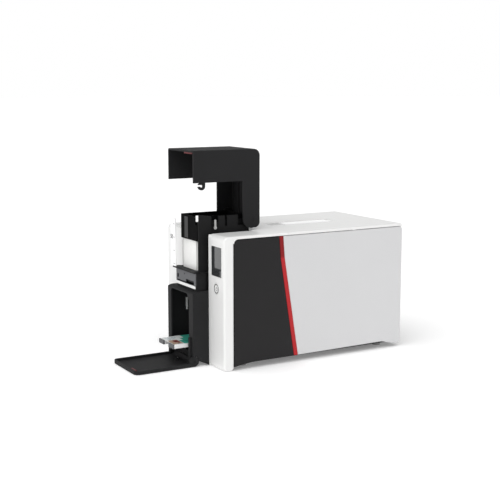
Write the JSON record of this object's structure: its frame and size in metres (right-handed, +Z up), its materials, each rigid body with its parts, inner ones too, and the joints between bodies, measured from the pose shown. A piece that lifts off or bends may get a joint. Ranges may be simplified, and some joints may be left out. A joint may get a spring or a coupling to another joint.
{
  "type": "id card printer",
  "caption": "Desktop printer for plastic cards with a tilting feeder cover, a drop-down hopper door, an output tray and a lid over the ribbon.",
  "frame": {"origin": "on the table under the middle of the printer's rest-pose bounding box", "axes": "+X to the printer's right side, front faces -Y, +Z up"},
  "size_m": [0.205, 0.4816, 0.3494],
  "materials": {
    "white_shell": "moulded white, satin gloss",
    "dark_panel": "moulded dark grey, fine grain",
    "light_panel": "moulded light grey, fine grain",
    "red_stripe": "moulded red",
    "black_plastic": "moulded black, fine grain",
    "dark_chassis": "moulded dark grey",
    "display_glass": "smoked window",
    "circuit_board": "green laminate with parts",
    "card_white": "white card stock",
    "printed_card": "printed card",
    "grey_plastic": "moulded mid grey",
    "button_silver": "silver grey",
    "steel": "ground steel",
    "plated_sheet": "zinc plated sheet",
    "aluminium": "extruded",
    "roller_rubber": "ground rubber",
    "cleaning_blue": "tacky blue rubber",
    "foot_rubber": "soft rubber",
    "ribbon": "wound coloured film",
    "clear_blue": "translucent cassette plastic"
  },
  "bodies": {
    "printer": {"base_chassis": "dark_chassis", "front_cover": "white_shell", "left_front_panel": "dark_panel", "left_stripe": "red_stripe", "left_rear_panel": "light_panel", "right_front_panel": "dark_panel", "right_stripe": "red_stripe", "right_rear_panel": "light_panel", "rear_panel": "dark_chassis", "rear_sockets": "black_plastic", "rear_screws": "steel", "rubber_feet": "foot_rubber", "display_window": "display_glass", "front_board": "circuit_board", "hopper_box": "black_plastic", "feeder_frame": "black_plastic", "scale_plate": "white_shell", "slot_block": "black_plastic", "slot_face_plate": "grey_plastic", "card_guide_strip": "white_shell", "card_stack": "card_white", "lid_hinge_pins": "steel", "left_frame_plate": "plated_sheet", "right_frame_plate": "plated_sheet", "drive_belt": "roller_rubber", "drive_motor": "black_plastic", "ribbon_cassette": "clear_blue", "ribbon_film": "ribbon", "main_board": "circuit_board"},
    "feeder_cover": {"feeder_cover": "black_plastic", "cover_accent": "red_stripe", "cover_hinge_pins": "steel"},
    "hopper_door": {"hopper_door": "black_plastic", "door_pins": "steel", "door_accent": "red_stripe"},
    "output_tray": {"output_tray": "white_shell", "tray_pads": "grey_plastic", "printed_card": "printed_card"},
    "top_lid": {"top_lid": "white_shell", "print_head": "grey_plastic", "head_heat_sink": "aluminium"},
    "lid_release_button": {"lid_release_button": "button_silver"},
    "power_button": {"power_button": "button_silver"},
    "gauge_lever": {"gauge_lever": "button_silver"},
    "card_weight": {"card_weight": "black_plastic"},
    "platen": {"platen_roller": "roller_rubber", "platen_shaft": "steel"},
    "infeed": {"infeed_roller": "roller_rubber", "infeed_shaft": "steel"},
    "exit": {"exit_roller": "roller_rubber", "exit_shaft": "steel"},
    "motor_rotor": {"motor_shaft": "steel"},
    "infeed_pinch": {"infeed_pinch_roller": "grey_plastic"},
    "exit_pinch": {"exit_pinch_roller": "grey_plastic"},
    "cleaning": {"cleaning_roller": "cleaning_blue"},
    "pick": {"pick_roller": "roller_rubber", "pick_shaft": "steel"},
    "slot_roller": {"slot_roller": "roller_rubber"},
    "supply": {"supply_spool": "ribbon"},
    "takeup": {"takeup_spool": "ribbon"}
  },
  "joints": [
    {"name": "feeder_cover_hinge", "type": "hinge", "parent": "printer", "child": "feeder_cover", "pos_m": [0.0032, -0.028, 0.2355], "axis": [1, 0, 0], "range_deg": [0, 90]},
    {"name": "hopper_door_hinge", "type": "hinge", "parent": "printer", "child": "hopper_door", "pos_m": [0.0032, -0.1365, 0.0091], "axis": [-1, 0, 0], "range_deg": [0, 90]},
    {"name": "output_tray_slide", "type": "slide", "parent": "printer", "child": "output_tray", "axis": [0, 1, 0], "range_m": [0, 0.0244]},
    {"name": "top_lid_hinge", "type": "hinge", "parent": "printer", "child": "top_lid", "pos_m": [0, 0.234, 0.2], "axis": [-1, 0, 0], "range_deg": [0, 70]},
    {"name": "lid_button_slide", "type": "slide", "parent": "top_lid", "child": "lid_release_button", "axis": [0, 0, -1], "range_m": [0, 0.0015], "stiffness_N_per_m": 400},
    {"name": "power_button_slide", "type": "slide", "parent": "printer", "child": "power_button", "axis": [0, 1, 0], "range_m": [0, 0.001], "stiffness_N_per_m": 400},
    {"name": "gauge_lever_slide", "type": "slide", "parent": "printer", "child": "gauge_lever", "axis": [0, 0, 1], "range_m": [0, 0.006]},
    {"name": "card_weight_slide", "type": "slide", "parent": "printer", "child": "card_weight", "axis": [0, 0, -1], "range_m": [-0.04, 0]},
    {"name": "platen_spin", "type": "hinge", "parent": "printer", "child": "platen", "pos_m": [0.0063, 0.0807, 0.146], "axis": [1, 0, 0], "continuous": true},
    {"name": "infeed_spin", "type": "hinge", "parent": "printer", "child": "infeed", "pos_m": [0.0063, -0.00192, 0.146], "axis": [1, 0, 0], "continuous": true},
    {"name": "exit_spin", "type": "hinge", "parent": "printer", "child": "exit", "pos_m": [0.0063, 0.15225, 0.146], "axis": [1, 0, 0], "continuous": true},
    {"name": "motor_spin", "type": "hinge", "parent": "printer", "child": "motor_rotor", "pos_m": [0.04, 0.19815, 0.146], "axis": [1, 0, 0], "continuous": true},
    {"name": "infeed_pinch_spin", "type": "hinge", "parent": "printer", "child": "infeed_pinch", "pos_m": [0.0063, -0.00192, 0.15976], "axis": [1, 0, 0], "continuous": true},
    {"name": "exit_pinch_spin", "type": "hinge", "parent": "printer", "child": "exit_pinch", "pos_m": [0.0063, 0.15225, 0.15976], "axis": [1, 0, 0], "continuous": true},
    {"name": "cleaning_spin", "type": "hinge", "parent": "printer", "child": "cleaning", "pos_m": [0.0063, -0.01704, 0.16126], "axis": [1, 0, 0], "continuous": true},
    {"name": "pick_spin", "type": "hinge", "parent": "printer", "child": "pick", "pos_m": [0.0063, -0.076, 0.14538], "axis": [1, 0, 0], "continuous": true},
    {"name": "slot_roller_spin", "type": "hinge", "parent": "printer", "child": "slot_roller", "pos_m": [0.0261, -0.125, 0.13894], "axis": [1, 0, 0], "continuous": true},
    {"name": "supply_spin", "type": "hinge", "parent": "printer", "child": "supply", "pos_m": [0.0063, 0.1266, 0.186], "axis": [1, 0, 0], "continuous": true},
    {"name": "takeup_spin", "type": "hinge", "parent": "printer", "child": "takeup", "pos_m": [0.0063, 0.0321, 0.186], "axis": [1, 0, 0], "continuous": true}
  ],
  "couplings": [
    {"joint": "output_tray_slide", "follows": "hopper_door_hinge", "m_per_rad": 0.015534},
    {"joint": "infeed_spin", "follows": "platen_spin", "ratio": 1},
    {"joint": "exit_spin", "follows": "platen_spin", "ratio": 1},
    {"joint": "motor_spin", "follows": "platen_spin", "ratio": 1},
    {"joint": "infeed_pinch_spin", "follows": "platen_spin", "ratio": -1.6},
    {"joint": "exit_pinch_spin", "follows": "platen_spin", "ratio": -1.6},
    {"joint": "cleaning_spin", "follows": "platen_spin", "ratio": -1.2308},
    {"joint": "takeup_spin", "follows": "supply_spin", "ratio": 1.5455}
  ]
}
